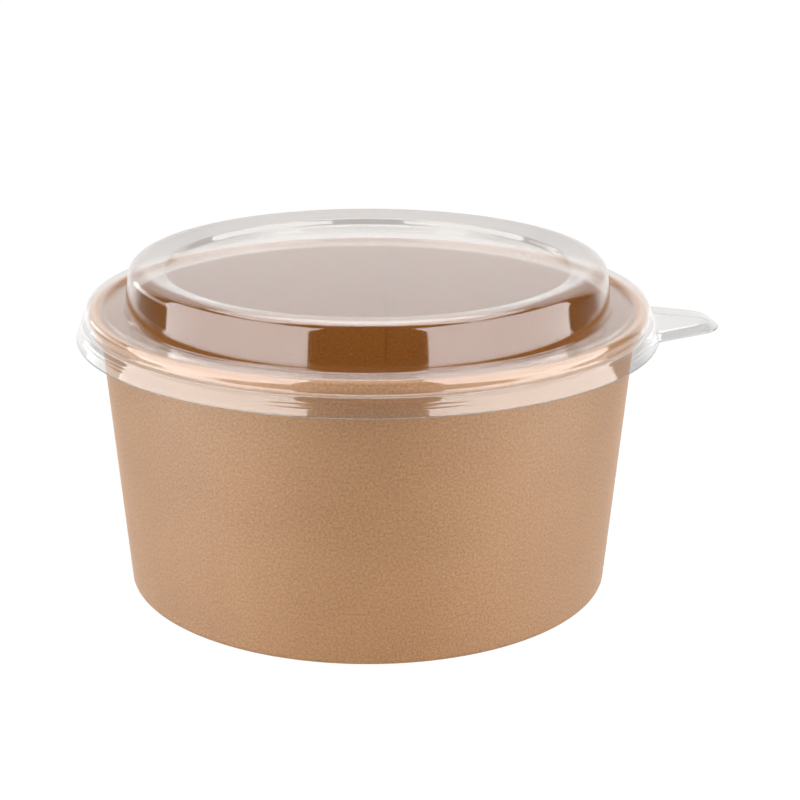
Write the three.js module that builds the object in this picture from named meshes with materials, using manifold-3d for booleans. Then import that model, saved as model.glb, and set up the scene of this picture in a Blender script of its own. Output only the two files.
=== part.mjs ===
// Round kraft-board salad bowl with a clear domed press-on lid, in millimetres, +Z up.
// The bowl stands on z = 0, its pull tab points to +X, and the origin is under the middle
// of the whole, tab included, so the bowl's own axis is a little towards -X.
// Three formed sheets: the conical side wall with its rolled rim and turned-in foot, the
// recessed base cup that the foot holds, and the thermoformed lid with its pull tab.
import * as THREE from "three";
import { mergeVertices } from "three/addons/utils/BufferGeometryUtils.js";
import Module from "manifold-3d";

const wasm = await Module();
wasm.setup();

// ---- driving dimensions ----
const ROUND_SIDES = 60; // sides of every turned shape
const BOARD = 0.5; // thickness of the coated kraft board
const CLEARANCE = 0.3; // play between touching sheets

const FOOT_RADIUS = 65; // outside of the wall where it stands
const WALL_LEAN = 0.0818; // growth of the wall's radius for each mm of height
const RIM_TOP = 75.6; // top of the rolled rim
const RIM_HALF_HEIGHT = 2.75; // the roll is pressed a little oval
const RIM_HALF_WIDTH = 1.8;
const ROLL_SWEEP = 300; // degrees that the board is rolled, from the wall's top
const FOLD_HEIGHT = 3.9; // how far the turned-in foot reaches up inside
const FOOT_BEND = 0.5; // outer radius of the foot's two bends

const BASE_TOP = 5.4; // upper face of the base
const BASE_SKIRT_BOTTOM = 0.9; // lower edge of the base's turned-down skirt

const SHEET = 0.4; // thickness of the clear lid
const DISC_TOP = 83.7; // flat middle panel of the lid
const DISC_RADIUS = 53.3;
const RING_STEP = [0.6, 1.9]; // steep step up to the ring, out of and above the panel
const CREST_TOP = 87.2; // stacking ring round the panel, which slopes up to its crest
const CREST_RADIUS = 59.9;
const CREST_SLOPE = 15; // degrees
const SHOULDER_RADIUS = 3.4; // rounding from the crest to the dome's wall
const DOME_DRAFT = 8; // degrees that the dome's wall leans in
const DOME_FOOT_RADIUS = 64.45; // dome's wall where it meets the channel
const DOME_FOOT_Z = 75.3;
const CHANNEL_INNER_RADIUS = 64.8; // where the channel's floor begins
const CHANNEL_INNER_Z = 74.95;
const CHANNEL_RADIUS = 69.6; // lowest line of the channel inside the rim
const CHANNEL_Z = 74.8;
const COVER_FOOT_RADIUS = 70.1; // slope up from the channel to the cover
const COVER_FOOT_Z = 75.5;
const COVER_CREST_RADIUS = 72.5; // the cover hugs the rolled rim
const COVER_TOP = 76.4;
const COVER_EDGE_RADIUS = 74.9;
const COVER_EDGE_Z = 73.5;
const SKIRT_TOP_RADIUS = 76; // flared skirt below the cover
const SKIRT_TOP_Z = 72;
const SKIRT_MIDDLE_RADIUS = 76.9;
const SKIRT_MIDDLE_Z = 70;
const SKIRT_RADIUS = 77.3; // its lower edge
const SKIRT_Z = 67.9;

const TAB_TOP = 70.5; // upper panel of the pull tab
const TAB_REACH = 93.7; // its outermost point, from the axis
const TAB_TIP_RADIUS = 9;
const TAB_ROOT_X = 72;
const TAB_ROOT_HALF_WIDTH = 16.6;
const TAB_DRAFT = 0.87; // size of the upper panel beside that of the lower edge

// ---- helpers ----
const point = (r, z) => new THREE.Vector2(r, z);

// points on an ellipse's arc, angles in degrees from +r towards +z
function arc(r, z, halfWidth, halfHeight, from, to, steps) {
  return Array.from({ length: steps + 1 }, (_, i) => {
    const a = THREE.MathUtils.degToRad(from + ((to - from) * i) / steps);
    return point(r + halfWidth * Math.cos(a), z + halfHeight * Math.sin(a));
  });
}

// the same path moved sideways by a distance, to the left of the way it runs
function beside(path, distance) {
  return path.map((p, i) => {
    const before = path[Math.max(i - 1, 0)];
    const after = path[Math.min(i + 1, path.length - 1)];
    const into = p.clone().sub(before).normalize();
    const outOf = after.clone().sub(p).normalize();
    const along = into.clone().add(outOf).normalize();
    const stretch = i > 0 && i < path.length - 1 ? 1 / Math.max(along.dot(outOf), 0.5) : 1;
    return point(p.x - along.y * distance * stretch, p.y + along.x * distance * stretch);
  });
}

// a profile turned round the upright axis
function turned(profile) {
  return new THREE.LatheGeometry(profile, ROUND_SIDES).rotateX(Math.PI / 2);
}

// a sheet that follows a path, with the path as its outer face on the path's right
function turnedSheet(path, thickness) {
  const inner = beside(path, thickness).reverse();
  return turned([...path, ...inner, path[0]]);
}

function solid(geometry) {
  const bare = geometry.clone();
  bare.deleteAttribute("normal");
  bare.deleteAttribute("uv");
  const merged = mergeVertices(bare, 1e-4);
  return new wasm.Manifold(
    new wasm.Mesh({
      numProp: 3,
      vertProperties: new Float32Array(merged.attributes.position.array),
      triVerts: new Uint32Array(merged.index.array),
    }),
  );
}

function geometryOf(shape) {
  const mesh = shape.getMesh();
  const geometry = new THREE.BufferGeometry();
  geometry.setAttribute("position", new THREE.BufferAttribute(mesh.vertProperties, 3));
  geometry.setIndex(new THREE.BufferAttribute(mesh.triVerts, 1));
  geometry.computeVertexNormals();
  return geometry;
}

function node(name, geometry, color, roughness, extra = {}) {
  const material = new THREE.MeshStandardMaterial({ color, roughness, metalness: 0, ...extra });
  const mesh = new THREE.Mesh(geometry, material);
  mesh.name = name;
  return mesh;
}

// ---- side wall: foot fold, cone and rolled rim in one sheet of board ----
const wallRadius = (z) => FOOT_RADIUS + WALL_LEAN * z;
const FOLD_RADIUS = FOOT_RADIUS - 3 * BOARD - 2 * CLEARANCE; // inner face of the foot fold
const RIM_CENTRE_Z = RIM_TOP - RIM_HALF_HEIGHT;
const RIM_CENTRE_RADIUS = wallRadius(RIM_CENTRE_Z) - BOARD + RIM_HALF_WIDTH;

function wallPath() {
  const rollStart = 180; // degrees, where the cone meets the roll
  return [
    point(FOLD_RADIUS, FOLD_HEIGHT),
    ...arc(FOLD_RADIUS + FOOT_BEND, FOOT_BEND, FOOT_BEND, FOOT_BEND, 180, 270, 2),
    ...arc(FOOT_RADIUS - FOOT_BEND, FOOT_BEND, FOOT_BEND, FOOT_BEND, 270, 355, 2),
    point(wallRadius(RIM_CENTRE_Z - RIM_HALF_HEIGHT), RIM_CENTRE_Z - RIM_HALF_HEIGHT),
    ...arc(
      RIM_CENTRE_RADIUS,
      RIM_CENTRE_Z,
      RIM_HALF_WIDTH - BOARD,
      RIM_HALF_HEIGHT - BOARD,
      rollStart,
      rollStart - ROLL_SWEEP,
      10,
    ),
  ];
}

// ---- base: a shallow upside-down cup held between wall and foot fold ----
function basePath() {
  const skirt = (z) => wallRadius(z) - BOARD - CLEARANCE;
  const bend = 1;
  const top = BASE_TOP - bend;
  return [
    point(skirt(BASE_SKIRT_BOTTOM), BASE_SKIRT_BOTTOM),
    ...arc(skirt(top) - bend, top, bend, bend, 0, 90, 3),
    point(0, BASE_TOP),
  ];
}

function baseProfile() {
  const outer = basePath();
  const inner = beside(outer, BOARD).reverse();
  inner[0].x = 0;
  return [...outer, ...inner, outer[0]];
}

// ---- lid: panel, stacking ring, dome wall, channel, rim cover and flared skirt ----
function lidPath() {
  const shoulderZ = CREST_TOP - SHOULDER_RADIUS;
  return [
    point(SKIRT_RADIUS, SKIRT_Z),
    point(SKIRT_MIDDLE_RADIUS, SKIRT_MIDDLE_Z),
    point(SKIRT_TOP_RADIUS, SKIRT_TOP_Z),
    point(COVER_EDGE_RADIUS, COVER_EDGE_Z),
    ...arc(
      COVER_CREST_RADIUS,
      COVER_EDGE_Z,
      COVER_EDGE_RADIUS - COVER_CREST_RADIUS,
      COVER_TOP - COVER_EDGE_Z,
      30,
      120,
      4,
    ),
    point(COVER_FOOT_RADIUS, COVER_FOOT_Z),
    point(CHANNEL_RADIUS, CHANNEL_Z),
    point(CHANNEL_INNER_RADIUS, CHANNEL_INNER_Z),
    point(DOME_FOOT_RADIUS, DOME_FOOT_Z),
    ...arc(
      CREST_RADIUS,
      shoulderZ,
      SHOULDER_RADIUS,
      SHOULDER_RADIUS,
      DOME_DRAFT,
      90 + CREST_SLOPE,
      8,
    ),
    point(DISC_RADIUS + RING_STEP[0], DISC_TOP + RING_STEP[1]),
    point(DISC_RADIUS, DISC_TOP),
    point(0, DISC_TOP),
  ];
}

function lidProfile() {
  const outer = lidPath();
  const inner = beside(outer, SHEET).reverse();
  inner[0].x = 0;
  return [...outer, ...inner, outer[0]];
}

// plan of the tab, inset from its lower outline: straight sides that meet a round tip
function tabPlan(inset) {
  const tipRadius = TAB_TIP_RADIUS - inset;
  const tipX = TAB_REACH - TAB_TIP_RADIUS;
  const rootHalfWidth = TAB_ROOT_HALF_WIDTH - inset;
  const reach = Math.hypot(tipX - TAB_ROOT_X, rootHalfWidth);
  const sideAngle = Math.atan2(rootHalfWidth, tipX - TAB_ROOT_X) - Math.asin(tipRadius / reach);
  const plan = new THREE.Shape();
  plan.moveTo(TAB_ROOT_X, rootHalfWidth);
  plan.lineTo(TAB_ROOT_X, -rootHalfWidth);
  plan.absarc(tipX, 0, tipRadius, sideAngle - Math.PI / 2, Math.PI / 2 - sideAngle);
  plan.closePath();
  return plan;
}

// the tab's block between two heights, its upper face drawn in towards the root
function tabBlock(inset, bottom, top) {
  const depth = top - bottom;
  const block = new THREE.ExtrudeGeometry(tabPlan(inset), {
    depth,
    bevelEnabled: false,
    curveSegments: 8,
  });
  const place = block.attributes.position;
  for (let i = 0; i < place.count; i++) {
    if (place.getZ(i) > depth / 2) {
      place.setX(i, TAB_ROOT_X + (place.getX(i) - TAB_ROOT_X) * TAB_DRAFT);
      place.setY(i, place.getY(i) * TAB_DRAFT);
    }
  }
  return solid(block.translate(0, 0, bottom));
}

function lid() {
  const dome = solid(turned(lidProfile()));
  const underLid = beside(lidPath(), SHEET).map((p) => point(Math.max(p.x, 0), p.y));
  const below = SKIRT_Z - 1;
  const inside = solid(turned([point(0, below), point(underLid[0].x, below), ...underLid]));
  const tray = tabBlock(0, SKIRT_Z, TAB_TOP).subtract(inside);
  const hollow = tabBlock(SHEET, below, TAB_TOP - SHEET);
  return geometryOf(dome.add(tray).subtract(hollow));
}

// ---- the object, moved so that the origin is under the middle of the whole ----
const AXIS_X = (SKIRT_RADIUS - TAB_REACH) / 2;
const bowl = new THREE.Group();
bowl.add(node("wall", turnedSheet(wallPath(), BOARD), 0xb68d66, 0.85));
bowl.add(node("base", turned(baseProfile()), 0xb68d66, 0.85));
bowl.add(node("lid", lid(), 0xe8ecee, 0.08, { transparent: true, opacity: 0.3 }));
for (const piece of bowl.children) piece.geometry.translate(AXIS_X, 0, 0);

export default bowl;
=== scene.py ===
"""Round kraft-board salad bowl, closed by a clear press-on lid with a pull tab.

Every piece is a profile turned round the bowl's upright axis: a point of the profile at
radius r and height z becomes (axis + r cos a, r sin a, z) at the angle a. The lid's lower
rows also slide outwards where the tab is. Sizes are in millimetres until lay() makes the
mesh, which is in metres, in the frame of the CAD model.
"""
import math
import bmesh
import bpy
import numpy as np
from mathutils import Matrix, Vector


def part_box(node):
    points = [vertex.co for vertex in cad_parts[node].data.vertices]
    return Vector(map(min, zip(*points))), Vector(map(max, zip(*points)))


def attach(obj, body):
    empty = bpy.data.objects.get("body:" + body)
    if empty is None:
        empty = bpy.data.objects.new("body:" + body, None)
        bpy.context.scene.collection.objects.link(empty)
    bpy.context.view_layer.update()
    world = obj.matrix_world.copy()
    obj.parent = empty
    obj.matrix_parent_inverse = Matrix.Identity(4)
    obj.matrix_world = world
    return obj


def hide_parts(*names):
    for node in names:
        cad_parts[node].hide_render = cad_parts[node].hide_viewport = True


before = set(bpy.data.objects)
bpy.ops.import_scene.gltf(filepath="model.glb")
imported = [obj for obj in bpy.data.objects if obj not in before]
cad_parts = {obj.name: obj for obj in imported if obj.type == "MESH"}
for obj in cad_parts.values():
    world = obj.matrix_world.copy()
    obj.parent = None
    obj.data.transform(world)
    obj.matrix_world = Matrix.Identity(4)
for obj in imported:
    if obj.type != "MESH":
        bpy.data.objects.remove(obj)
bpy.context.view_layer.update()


# ---- side wall ----
# One strip of kraft board, 0.5 mm thick, wound into a cone and glued in an upright lap at the
# back. Its foot is folded up inside round the base, and its top is rolled outwards into a rim.
# The brown outside is bare paper; the inside has a thin polyethylene coating.
low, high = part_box("wall")
AXIS_X = 1000 * (low[0] + high[0]) / 2
BOARD = 0.5
FOOT_RADIUS = 65
LEAN = 0.0818  # growth of the radius for each millimetre of height
FOLD_RADIUS = 62.9
FOLD_HEIGHT = 3.9
FOOT_BEND = 0.5
RIM_Z = 72.85
RIM_RADIUS = 72.26
RIM_HALF_WIDTH = 1.65
RIM_HALF_HEIGHT = 2.75
ROLL_START, ROLL_END, ROLL_ROWS = 172, -120, 33  # degrees, from the wall out over the top
# The roll's visible face is the board's coated face. Its rows from the tucked end to the top take the
# paler bare colour instead. That is painted light, where light from above falls on the roll.
PAINTED_LIGHT_ROWS = 24  # rows from the roll's tucked end to its top, which look as pale as the outside
LAP_END = math.radians(92)  # the outer lap's cut edge, 2 degrees past the middle of the back
LAP = math.radians(6.5)
LAP_RISE = math.radians(4)
LAP_STEP = 0.9 * BOARD
PRESSED_Z, PRESSED_STEP = (66, 71), (1, 0.45)  # the roll presses the lap's step flatter
EDGE_GAP = 0.001  # radians between the last column and the first


def arc(r, z, half_width, half_height, start, end, count):
    """Points on an ellipse: centre plus half width times cos and half height times sin."""
    a = np.radians(np.linspace(start, end, count))
    return np.stack([r + half_width * np.cos(a), z + half_height * np.sin(a)], 1)


def line(start, end, guard=0.6, step=6.0):
    """A straight run with a point close to each end, which keeps the shading flat between."""
    start, end = np.array(start, float), np.array(end, float)
    length = np.linalg.norm(end - start)
    inner = np.linspace(guard, length - guard, max(2, int(length / step) + 1))
    return start + np.outer(np.r_[0, inner, length] / length, end - start)


def beside(path, distance):
    """The path moved to its left: each point goes along the normal of its neighbours' chord."""
    along = np.gradient(path, axis=0)
    along /= np.linalg.norm(along, axis=1, keepdims=True)
    return path + distance * np.stack([-along[:, 1], along[:, 0]], 1)


def turned(path, angles, shift=0.0):
    """Grid of rows by columns: radius r + shift and height z, turned to each angle."""
    r = path[:, :1] + shift + 0 * angles
    z = path[:, 1:] + 0 * r
    return np.stack([AXIS_X + r * np.cos(angles), r * np.sin(angles), z], -1)


def lay(name, grid, closed, materials, row_slots=None, sharp=40):
    """Makes the grid a mesh of quads, joined round its columns and, if closed, its rows too.

    Points that coincide, as at a pole, become one. The attribute "unrolled" keeps each
    point's way round, as measured on one row of the outside, and its way along the profile.
    Both are in metres, for patterns on the board.
    """
    rows, columns = grid.shape[:2]
    index = np.arange(rows * columns).reshape(rows, columns)
    upper = np.roll(index, -1, 0) if closed else index[1:]
    lower = index if closed else index[:-1]
    quads = np.stack([lower, np.roll(lower, -1, 1), np.roll(upper, -1, 1), upper], -1)
    mesh = bpy.data.meshes.new(name)
    mesh.from_pydata(grid.reshape(-1, 3) / 1000, [], quads.reshape(-1, 4).tolist())
    round_way = np.linalg.norm(np.diff(grid, axis=1, prepend=grid[:, :1]), axis=2).cumsum(1)
    up_way = np.linalg.norm(np.diff(grid, axis=0, prepend=grid[:1]), axis=2).cumsum(0)
    wide = round_way[rows // 3] + 0 * up_way
    unrolled = np.stack([wide, up_way, 0 * up_way], -1).reshape(-1, 3) / 1000
    mesh.attributes.new("unrolled", "FLOAT_VECTOR", "POINT")
    mesh.attributes["unrolled"].data.foreach_set("vector", unrolled.astype(np.float32).ravel())
    for material in materials:
        mesh.materials.append(material)
    if row_slots is not None:
        slots = np.repeat(np.asarray(row_slots, np.int32)[: len(lower)], columns)
        mesh.polygons.foreach_set("material_index", slots)
    work = bmesh.new()
    work.from_mesh(mesh)
    bmesh.ops.remove_doubles(work, verts=work.verts, dist=1e-6)
    bmesh.ops.recalc_face_normals(work, faces=work.faces)
    work.to_mesh(mesh)
    work.free()
    mesh.shade_smooth()
    mesh.set_sharp_from_angle(angle=math.radians(sharp))
    piece = bpy.data.objects.new(name, mesh)
    bpy.context.collection.objects.link(piece)
    return piece


def linear(code):
    """An sRGB hex colour as linear red, green, blue and alpha 1."""
    parts = np.array([int(code[i : i + 2], 16) for i in (0, 2, 4)]) / 255
    curve = np.where(parts <= 0.04045, parts / 12.92, ((parts + 0.055) / 1.055) ** 2.4)
    return (*curve.tolist(), 1.0)


def add(tree, kind, inputs=(), **settings):
    """Adds a node: settings go on the node, and inputs are values or sockets to link."""
    node = tree.nodes.new(kind)
    for key, value in settings.items():
        setattr(node, key, value)
    for key, value in dict(inputs).items():
        if isinstance(value, bpy.types.NodeSocket):
            tree.links.new(value, node.inputs[key])
        else:
            node.inputs[key].default_value = value
    return node


CLUMPS, CLOUDS, FLECKS = 1500, 55, 520  # in a metre, so 0.67, 18 and 1.9 mm each
CLUMP_SHARE = 0.86
FLECK_SLIMNESS = 2.6
DARK_FLECK, PALE_FLECK = "6b4528", "d8b894"


def kraft_board(name, gloss, light, dark):
    """Unbleached kraft board: a brown web of short fibres with darker and paler flecks.

    Real fibres are finer than a pixel, so they are drawn as clumps of 0.67 mm. The tone is
    0.86 of the clumps and the rest of clouds of 18 mm. Flecks are the peaks and pits of a
    pattern of 1.9 by 0.7 mm that lies round the bowl, as the web's fibres do.
    """
    material = bpy.data.materials.new(name)
    material.use_nodes = True
    tree = material.node_tree
    tree.nodes.clear()
    place = add(tree, "ShaderNodeAttribute", attribute_name="unrolled").outputs["Vector"]
    clumps = add(tree, "ShaderNodeTexNoise",
                 {"Vector": place, "Scale": CLUMPS, "Detail": 3, "Roughness": 0.6}).outputs["Fac"]
    clouds = add(tree, "ShaderNodeTexNoise",
                 {"Vector": place, "Scale": CLOUDS, "Detail": 2, "Roughness": 0.5}).outputs["Fac"]
    along = add(tree, "ShaderNodeMapping",
                {"Vector": place, "Scale": (1, FLECK_SLIMNESS, 1)}).outputs[0]
    flecks = add(tree, "ShaderNodeTexNoise",
                 {"Vector": along, "Scale": FLECKS, "Detail": 1, "Roughness": 0.5}).outputs["Fac"]
    fibres = add(tree, "ShaderNodeMath", {0: clumps, 1: CLUMP_SHARE},
                 operation="MULTIPLY").outputs[0]
    mixed = add(tree, "ShaderNodeMath", {0: clouds, 1: 1 - CLUMP_SHARE, 2: fibres},
                operation="MULTIPLY_ADD").outputs[0]
    tone = add(tree, "ShaderNodeMapRange", {"Value": mixed, "From Min": 0.36, "From Max": 0.64,
               "To Min": 0.0, "To Max": 1.0}).outputs["Result"]
    ground = add(tree, "ShaderNodeMix", {"Factor": tone, 6: linear(dark), 7: linear(light)},
                 data_type="RGBA").outputs[2]
    deep = add(tree, "ShaderNodeMapRange", {"Value": flecks, "From Min": 0.70, "From Max": 0.78,
               "To Min": 0.0, "To Max": 0.35}).outputs["Result"]
    marked = add(tree, "ShaderNodeMix", {"Factor": deep, 6: ground, 7: linear(DARK_FLECK)},
                 data_type="RGBA").outputs[2]
    pale = add(tree, "ShaderNodeMapRange", {"Value": flecks, "From Min": 0.28, "From Max": 0.22,
               "To Min": 0.0, "To Max": 0.3}).outputs["Result"]
    colour = add(tree, "ShaderNodeMix", {"Factor": pale, 6: marked, 7: linear(PALE_FLECK)},
                 data_type="RGBA").outputs[2]
    bump = add(tree, "ShaderNodeBump", {"Height": clumps, "Strength": 0.25, "Distance": 0.0002})
    paper = add(tree, "ShaderNodeBsdfPrincipled",
                {"Base Color": colour, "Roughness": 0.45, "IOR": 1.53, "Specular IOR Level": gloss,
                 "Normal": bump.outputs[0]})
    add(tree, "ShaderNodeOutputMaterial", {"Surface": paper.outputs[0]})
    return material


bare_kraft = kraft_board("Kraft board, bare face", 0.8, "bf8c56", "a06f3f")
coated_kraft = kraft_board("Kraft board, polyethylene coated face", 0.2, "b87d22", "a0681a")

outer_face = np.concatenate([
    line((FOLD_RADIUS, FOLD_HEIGHT), (FOLD_RADIUS, FOOT_BEND)),
    arc(FOLD_RADIUS + FOOT_BEND, FOOT_BEND, FOOT_BEND, FOOT_BEND, 190, 270, 5),
    arc(FOOT_RADIUS - FOOT_BEND, FOOT_BEND, FOOT_BEND, FOOT_BEND, 270, 350, 5),
    line((FOOT_RADIUS + LEAN * FOOT_BEND, FOOT_BEND),
         (RIM_RADIUS - RIM_HALF_WIDTH + BOARD, RIM_Z)),
    arc(RIM_RADIUS, RIM_Z, RIM_HALF_WIDTH - BOARD, RIM_HALF_HEIGHT - BOARD,
        ROLL_START, ROLL_END, ROLL_ROWS),
])
inner_face = beside(outer_face, BOARD)[::-1]
# The last column is the outer lap's cut edge. Before it the sheet rises over the inner lap,
# whose own cut edge makes the step on the inside.
before = np.concatenate([
    np.linspace(2 * math.pi, LAP + LAP_RISE, 250, endpoint=False),
    np.linspace(LAP + LAP_RISE, LAP, 10),
    np.linspace(LAP - EDGE_GAP, EDGE_GAP, 8),
])
angles = LAP_END - before
rise = np.clip((LAP + LAP_RISE - before) / LAP_RISE, 0, 1)
rise = LAP_STEP * rise * rise * (3 - 2 * rise)
rise_inside = np.where(before >= LAP, rise, 0)
pressed = lambda path: np.interp(path[:, 1:], PRESSED_Z, PRESSED_STEP)
wall_grid = np.concatenate([
    turned(outer_face, angles, rise * pressed(outer_face)),
    turned(inner_face, angles, rise_inside * pressed(inner_face)),
])
# The roll's rows up to its top get the bare colour although they are the coated face. This is painted
# light on the lit roll.
wall_slots = [0] * (len(outer_face) + PAINTED_LIGHT_ROWS) + [1] * (len(inner_face) - PAINTED_LIGHT_ROWS)
wall = lay("wall_board", wall_grid, True, [bare_kraft, coated_kraft], wall_slots)
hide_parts("wall")
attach(wall, "root")


# ---- base ----
# A disc of the same board, pressed into a shallow cup that stands upside down. Its turned-down
# edge is glued between the wall and the folded foot, which lifts the floor of the bowl 5 mm.
BASE_TOP = 5.4
BASE_BEND = 1.0
BASE_EDGE_Z = 0.9
PLAY = 0.3
BASE_COLUMNS = 192

base_edge = lambda z: FOOT_RADIUS + LEAN * z - BOARD - PLAY
bend_z = BASE_TOP - BASE_BEND
upper_face = np.concatenate([
    line((base_edge(BASE_EDGE_Z), BASE_EDGE_Z), (base_edge(bend_z), bend_z)),
    arc(base_edge(bend_z) - BASE_BEND, bend_z, BASE_BEND, BASE_BEND, 8, 90, 7),
    line((base_edge(bend_z) - BASE_BEND, BASE_TOP), (0, BASE_TOP), step=15)[1:],
])
lower_face = beside(upper_face, BOARD)[::-1]
lower_face[0, 0] = 0
base_angles = np.linspace(0, 2 * math.pi, BASE_COLUMNS, endpoint=False)
base_grid = turned(np.concatenate([upper_face, lower_face]), base_angles)
base_slots = [1] * len(upper_face) + [0] * len(lower_face)
base = lay("base_board", base_grid, True, [bare_kraft, coated_kraft], base_slots)
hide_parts("base")
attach(base, "root")


# ---- lid ----
# One sheet of clear PET, 0.35 mm thick, vacuum formed over a mould: flat panel, stacking ring,
# dome wall, channel, cover that grips the rolled rim, flared skirt, and the pull tab.
SHEET = 0.35
TAB_Z = 70.5
SKIRT_Z = 67.9
TAB_ROOT_X = 72
TAB_REACH = 93.7
TAB_TIP_RADIUS = 9
TAB_ROOT_HALF_WIDTH = 16.6
TAB_DRAFT = 0.87  # size of the tab's top outline, with its lower one as 1
TAB_FILLET = 0.7
TAB_LIFT = 0.035  # rise of the tab for each millimetre beyond the skirt
TAB_BLEND = 0.5
NEAR_TAB = math.radians(30)
SKIRT_AT_TAB = 76.25
SKIRT_RADIUS = 77.3


def bent(corners, chord=0.3):
    """Path on straight lines between corners, each corner an arc of its bend radius.

    The arc starts radius times tan(half the turn) before the corner and touches both lines.
    """
    corner = np.array(corners, float)
    point, radius = corner[:, :2], corner[:, 2]
    way = np.diff(point, axis=0)
    way /= np.linalg.norm(way, axis=1, keepdims=True)
    path, last = [], point[0]
    for i in range(1, len(point)):
        if i == len(point) - 1:
            path.append(line(last, point[i], guard=min(0.4, np.linalg.norm(point[i] - last) / 3)))
            break
        a, b = way[i - 1], way[i]
        turn = math.atan2(a[0] * b[1] - a[1] * b[0], a @ b)
        start = point[i] - a * radius[i] * math.tan(abs(turn) / 2)
        path.append(line(last, start, guard=min(0.4, np.linalg.norm(start - last) / 3), step=12)[:-1])
        t = np.linspace(0, turn, max(3, int(radius[i] * abs(turn) / chord) + 1))
        left = math.copysign(1, turn) * np.array([-a[1], a[0]])
        curve = start + np.outer(radius[i] * np.sin(abs(t)), a)
        curve = curve + np.outer(radius[i] * (1 - np.cos(t)), left)
        path.append(curve[:-1])
        last = curve[-1]
    return np.concatenate(path)


def tab_outline(angles, size):
    """Radius from the axis to the tab's outline, whose plan is size times the lower one's.

    Its sides are straight and touch the round tip. The plan shrinks towards its root. The
    radius along an angle is the nearer of the side's line and, at the tip, the circle.
    """
    tip_x = TAB_REACH - TAB_TIP_RADIUS - TAB_ROOT_X
    apart = math.hypot(tip_x, TAB_ROOT_HALF_WIDTH)
    side = math.atan2(TAB_ROOT_HALF_WIDTH, tip_x) - math.asin(TAB_TIP_RADIUS / apart)
    root, half = TAB_ROOT_X, TAB_ROOT_HALF_WIDTH * size
    tip, tip_radius = root + tip_x * size, TAB_TIP_RADIUS * size
    a = np.abs(angles)
    to_side = (half + root * math.tan(side)) / (np.sin(a) + np.cos(a) * math.tan(side))
    under = np.maximum(tip_radius**2 - (tip * np.sin(a)) ** 2, 0)
    to_tip = tip * np.cos(a) + np.sqrt(under)
    touch = math.atan2(tip_radius * math.cos(side), tip + tip_radius * math.sin(side))
    return np.where(a < touch, to_tip, to_side)


def larger(a, b, width):
    """The larger of two radii, with the change from one to the other rounded over a width."""
    gap = np.clip(0.5 + 0.5 * (a - b) / width, 0, 1)
    return b + (a - b) * gap + width * gap * (1 - gap)


fine = np.radians(np.arange(-15, 15, 0.25))
coarse = np.radians(np.arange(15, 345, 1.5))
lid_angles = np.concatenate([fine, coarse])
turn_in = np.where(lid_angles > math.pi, lid_angles - 2 * math.pi, lid_angles)

# Radius, height and bend radius of each corner.
panel_to_skirt = bent([
    (0, 83.7, 0),  # middle of the panel
    (53.3, 83.7, 0.5),  # foot of the stacking ring
    (53.9, 85.6, 0.5),
    (62.7, 88.0, 3.4),  # shoulder, whose bend stays below 87.2
    (64.5, 75.25, 0.3),  # foot of the dome wall
    (64.75, 74.95, 0.15),  # channel
    (69.6, 74.8, 0.3),
    (70.1, 76.3, 0.5),  # cover over the rolled rim
    (74.1, 76.45, 0.5),
    (74.7, 75.2, 2.2),
    (74.5, 72.95, 0.15),  # undercut that grips the rim
    (75.7, 72.55, 0.2),  # ledge
    (75.9, 71.1, 1.0),
    (SKIRT_AT_TAB, TAB_Z, 0),
])
upper_part = turned(panel_to_skirt, lid_angles)

near = np.abs(turn_in) < NEAR_TAB
top_outline = np.where(near, tab_outline(turn_in, TAB_DRAFT), 0)
low_outline = np.where(near, tab_outline(turn_in, 1), 0)


def outer_wall(share):
    """Radius at a share of the way down: the larger of the tab wall's and the skirt's."""
    tab_wall = top_outline + (low_outline - top_outline) * share
    skirt = SKIRT_AT_TAB + (SKIRT_RADIUS - SKIRT_AT_TAB) * share
    return larger(tab_wall, skirt, TAB_BLEND)


# The tab's flat panel runs out to the wall's top edge. That edge is rounded along a parabola
# from the setback on the panel to the drop on the wall, and shrinks to none off the tab.
top_edge = np.maximum(outer_wall(0), SKIRT_AT_TAB)
setback = np.minimum(TAB_FILLET, (top_edge - SKIRT_AT_TAB) / 2)
across = np.linspace(0, 1, 8)[:-1, None]
panel_r = SKIRT_AT_TAB + (top_edge - setback - SKIRT_AT_TAB) * across
drop = TAB_FILLET / (TAB_Z - SKIRT_Z)
below = top_edge + (outer_wall(1) - top_edge) * drop
t = np.linspace(0, 1, 5)[:, None]
fillet_r = (1 - t) ** 2 * (top_edge - setback) + 2 * t * (1 - t) * top_edge + t**2 * below
fullness = setback / TAB_FILLET
fillet_z = TAB_Z - TAB_FILLET * (t**2 * fullness + t * (1 - fullness))
down = np.linspace(drop, 1, 7)[1:, None]
wall_z = TAB_Z - (TAB_Z - SKIRT_Z) * down + 0 * top_outline
tab_r = np.concatenate([panel_r, fillet_r, outer_wall(down)])
tab_z = np.concatenate([TAB_Z + 0 * panel_r, fillet_z, wall_z])
tab_z = tab_z + TAB_LIFT * np.maximum(tab_r - SKIRT_RADIUS, 0)
lower_part = np.stack([
    AXIS_X + tab_r * np.cos(lid_angles), tab_r * np.sin(lid_angles), tab_z], -1)


PET_IOR = 1.57
PET_F0 = 0.049
WAVES = 60  # in a metre, so 17 mm each


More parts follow.
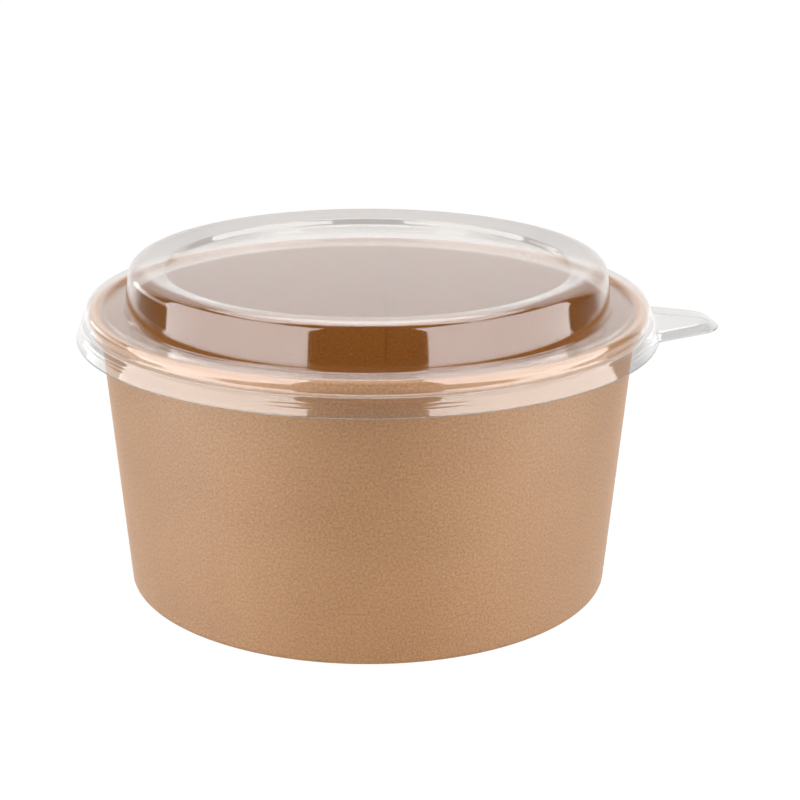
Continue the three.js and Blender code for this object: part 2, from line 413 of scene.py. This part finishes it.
def clear_sheet(name, tint, haze):
    """PET sheet, vacuum formed and glossy. It is too thin to bend what is seen through it.

    Each face mirrors F0 + (1 - F0) (1 - cos angle)^5 of the light, with F0 = 0.049 for an
    IOR of 1.57, and lets the rest through. The haze scatters light, most in the cut edge.
    Slight waves from the mould bend the reflections.
    """
    material = bpy.data.materials.new(name)
    material.use_nodes = True
    tree = material.node_tree
    tree.nodes.clear()
    place = add(tree, "ShaderNodeTexCoord").outputs["Object"]
    waves = add(tree, "ShaderNodeTexNoise", {"Vector": place, "Scale": WAVES, "Detail": 1})
    bump = add(tree, "ShaderNodeBump", {"Height": waves.outputs["Fac"], "Strength": 0.025,
                                        "Distance": 0.001}).outputs[0]
    facing = add(tree, "ShaderNodeLayerWeight", {"Blend": 0.5, "Normal": bump}).outputs["Facing"]
    fifth = add(tree, "ShaderNodeMath", {0: facing, 1: 5.0}, operation="POWER").outputs[0]
    mirror = add(tree, "ShaderNodeMath", {0: fifth, 1: 1 - PET_F0, 2: PET_F0},
                 operation="MULTIPLY_ADD").outputs[0]
    through = add(tree, "ShaderNodeBsdfTransparent", {"Color": linear(tint)})
    gloss = add(tree, "ShaderNodeBsdfAnisotropic", {"Roughness": 0.06, "Normal": bump,
                                                    "Color": (1, 1, 1, 1)})
    sheet = add(tree, "ShaderNodeMixShader", {0: mirror, 1: through.outputs[0],
                                              2: gloss.outputs[0]})
    milk = add(tree, "ShaderNodeBsdfPrincipled", {"Base Color": linear("b9bcbb"),
                                                  "Roughness": 0.35, "IOR": PET_IOR})
    whole = add(tree, "ShaderNodeMixShader", {0: haze, 1: sheet.outputs[0], 2: milk.outputs[0]})
    add(tree, "ShaderNodeOutputMaterial", {"Surface": whole.outputs[0]})
    return material


clear_pet = clear_sheet("PET sheet, vacuum formed", "fefdfc", 0.003)
cut_pet = clear_sheet("PET sheet, cut edge", "e4e7e6", 0.05)
lid_grid = np.concatenate([upper_part, lower_part])
# The last row of quads, 0.3 mm high, looks like the cut edge below it.
lid_slots = [0] * (len(lid_grid) - 2) + [1]
lid = lay("lid_sheet", lid_grid, False, [clear_pet, cut_pet], lid_slots, sharp=180)
wall_of_sheet = lid.modifiers.new("Sheet thickness", "SOLIDIFY")
wall_of_sheet.thickness = SHEET / 1000
wall_of_sheet.offset = -1
wall_of_sheet.use_even_offset = True
wall_of_sheet.use_rim = True
wall_of_sheet.material_offset_rim = 1
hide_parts("lid")
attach(lid, "root")


# ---- studio ----
# A white table top and a white backdrop. Two large soft boxes stand to the front left and
# front right with a dark gap between them, and a low narrow one to the rear left. One hangs
# overhead with a dim one behind it, and a soft fill in front lights the dull surfaces.
FLOOR_RADIUS = 0.36
SEEN_DIRECTLY = 1.02
# Through the lid the camera sees the table and backdrop at lower levels. This is painted shade for
# the light that the clear sheet loses.
TABLE_THROUGH_LID, BACKDROP_THROUGH_LID = 0.68, 0.59
axis = AXIS_X / 1000


def behind_object(tree, through_lid):
    """Level of white that the camera sees: one directly, and the given one through the lid.

    Returns the socket that tells the camera's rays, and the socket of that level.
    """
    path = add(tree, "ShaderNodeLightPath")
    # The level falls with each clear sheet passed, which paints shade behind the lid.
    level = add(tree, "ShaderNodeMapRange", {"Value": path.outputs["Transparent Depth"],
                "To Min": SEEN_DIRECTLY, "To Max": through_lid}).outputs["Result"]
    return path.outputs["Is Camera Ray"], level


floor_mesh = bpy.data.meshes.new("table_top")
turn = np.linspace(0, 2 * math.pi, 128, endpoint=False)
floor_points = np.stack([
    axis + FLOOR_RADIUS * np.cos(turn), FLOOR_RADIUS * np.sin(turn), 0 * turn], 1)
floor_mesh.from_pydata(floor_points, [], [list(range(128))])
white = bpy.data.materials.new("White laminate")
white.use_nodes = True
white.node_tree.nodes.clear()
to_camera, level = behind_object(white.node_tree, TABLE_THROUGH_LID)
lit = add(white.node_tree, "ShaderNodeEmission", {"Strength": level})
laminate = add(white.node_tree, "ShaderNodeBsdfPrincipled", {
    "Base Color": linear("d6d6d6"), "Roughness": 0.6, "Emission Color": (1, 1, 1, 1),
    "Emission Strength": 0.3})
table = add(white.node_tree, "ShaderNodeMixShader", {0: to_camera, 1: laminate.outputs[0],
                                                     2: lit.outputs[0]})
add(white.node_tree, "ShaderNodeOutputMaterial", {"Surface": table.outputs[0]})
floor_mesh.materials.append(white)
table_top = bpy.data.objects.new("table_top", floor_mesh)
table_top.visible_glossy = False
table_top.visible_shadow = False
bpy.context.collection.objects.link(table_top)


def soft_box(name, shine, glow, width, height, place, turn, ends=(1, 1)):
    """A rectangular lamp at a place, which shines along its local -Z.

    It is two lamps in one place: shine is the radiance that glossy surfaces mirror, and
    glow is what lights dull ones. Both are scaled from the first of ends to the second along
    local Y.
    """
    for part, radiance in (("shine", shine), ("glow", glow)):
        lamp = bpy.data.lights.new(f"{name}_{part}", "AREA")
        lamp.shape = "RECTANGLE"
        lamp.size, lamp.size_y = width, height
        lamp.energy = radiance * 4 * width * height
        lamp.use_nodes = True
        place_on_lamp = add(lamp.node_tree, "ShaderNodeNewGeometry").outputs["Parametric"]
        along_lamp = add(lamp.node_tree, "ShaderNodeSeparateXYZ", {0: place_on_lamp}).outputs[1]
        share = add(lamp.node_tree, "ShaderNodeMapRange", {
            "Value": along_lamp, "To Min": ends[0], "To Max": ends[1]}).outputs["Result"]
        lamp.node_tree.links.new(share, lamp.node_tree.nodes["Emission"].inputs["Strength"])
        box = bpy.data.objects.new(f"{name}_{part}", lamp)
        box.location = place
        box.rotation_euler = turn
        box.visible_camera = False
        box.visible_diffuse = part == "glow"
        box.visible_glossy = part == "shine"
        bpy.context.collection.objects.link(box)


SIDE_DISTANCE = 0.8
SIDE_HEIGHT = 0.14
SIDE_TILT = math.radians(13)
SIDE_AZIMUTH = math.radians(65)  # from the camera's side, to the left and to the right
WING_AZIMUTH = math.radians(122)
OVERHEAD = 0.95
upright = math.radians(90)
for name, way, glow in (("left_box", -1, 1.25), ("right_box", 1, 0.7)):
    place = (axis + way * SIDE_DISTANCE * math.sin(SIDE_AZIMUTH),
             -SIDE_DISTANCE * math.cos(SIDE_AZIMUTH), SIDE_HEIGHT)
    soft_box(name, 3.1, glow, 1.32, 0.98, place,
             (upright - SIDE_TILT, 0, way * SIDE_AZIMUTH))
soft_box("left_wing", 1.2, 0, 0.7, 0.24, (axis - 0.89, 0.56, SIDE_HEIGHT),
         (upright, 0, -WING_AZIMUTH))
soft_box("top_box", 3.5, 6.0, 1.7, 0.8, (axis, -0.12, OVERHEAD), (0, 0, 0))
soft_box("ceiling", 0.8, 0, 2.4, 1.2, (axis, 0.88, OVERHEAD), (0, 0, 0), (1, 0.1))
soft_box("front_fill", 0, 0.9, 0.8, 0.8, (axis, -1.1, 0.35), (math.radians(80), 0, 0))

# The lid mirrors a white backdrop, where the direction's dot product with (0, 1, 0.4) is high,
# and the table's glare below the horizon, which is dimmer on the camera's side.
world = bpy.data.worlds.new("Studio")
bpy.context.scene.world = world
world.use_nodes = True
tree = world.node_tree
tree.nodes.clear()
towards = add(tree, "ShaderNodeTexCoord").outputs["Generated"]
back_and_up = add(tree, "ShaderNodeVectorMath", {0: towards, 1: (0, 1, 0.4)},
                  operation="DOT_PRODUCT").outputs["Value"]
backdrop = add(tree, "ShaderNodeMapRange", {"Value": back_and_up, "From Min": 0.56,
               "From Max": 0.7, "To Min": 0.05, "To Max": 1.05}).outputs["Result"]
split = add(tree, "ShaderNodeSeparateXYZ", {0: towards})
downwards = add(tree, "ShaderNodeMapRange", {"Value": split.outputs["Z"], "From Min": -0.1,
                "From Max": -0.3, "To Min": 0.0, "To Max": 0.9}).outputs["Result"]
backwards = add(tree, "ShaderNodeMapRange", {"Value": split.outputs["Y"], "From Min": -0.9,
                "From Max": 0.3, "To Min": 0.35, "To Max": 1.0}).outputs["Result"]
glare = add(tree, "ShaderNodeMath", {0: downwards, 1: backwards}, operation="MULTIPLY").outputs[0]
around = add(tree, "ShaderNodeMath", {0: backdrop, 1: glare}, operation="MAXIMUM").outputs[0]
to_camera, level = behind_object(tree, BACKDROP_THROUGH_LID)
radiance = add(tree, "ShaderNodeMix", {"Factor": to_camera, 2: around, 3: level}).outputs[0]
light = add(tree, "ShaderNodeBackground", {"Strength": radiance, "Color": (1, 1, 1, 1)})
add(tree, "ShaderNodeOutputWorld", {"Surface": light.outputs[0]})

# The camera's place, tilt, lens and shift were fitted to the ellipses of the foot, rim, skirt
# and panel.
EYE_DISTANCE, EYE_HEIGHT = 0.4784, 0.2038
EYE_TILT = math.radians(18.116)
camera = bpy.data.cameras.new("Camera")
camera.lens = 83.49
camera.sensor_width = 36
camera.shift_x = 0.0401
camera.clip_start = 0.02
camera.dof.use_dof = False
eye = bpy.data.objects.new("Camera", camera)
eye.location = (axis, -EYE_DISTANCE, EYE_HEIGHT)
eye.rotation_euler = (upright - EYE_TILT, 0, 0)
bpy.context.collection.objects.link(eye)
bpy.context.scene.camera = eye
bpy.context.scene.view_settings.view_transform = "Standard"
bpy.context.scene.cycles.transparent_max_bounces = 32
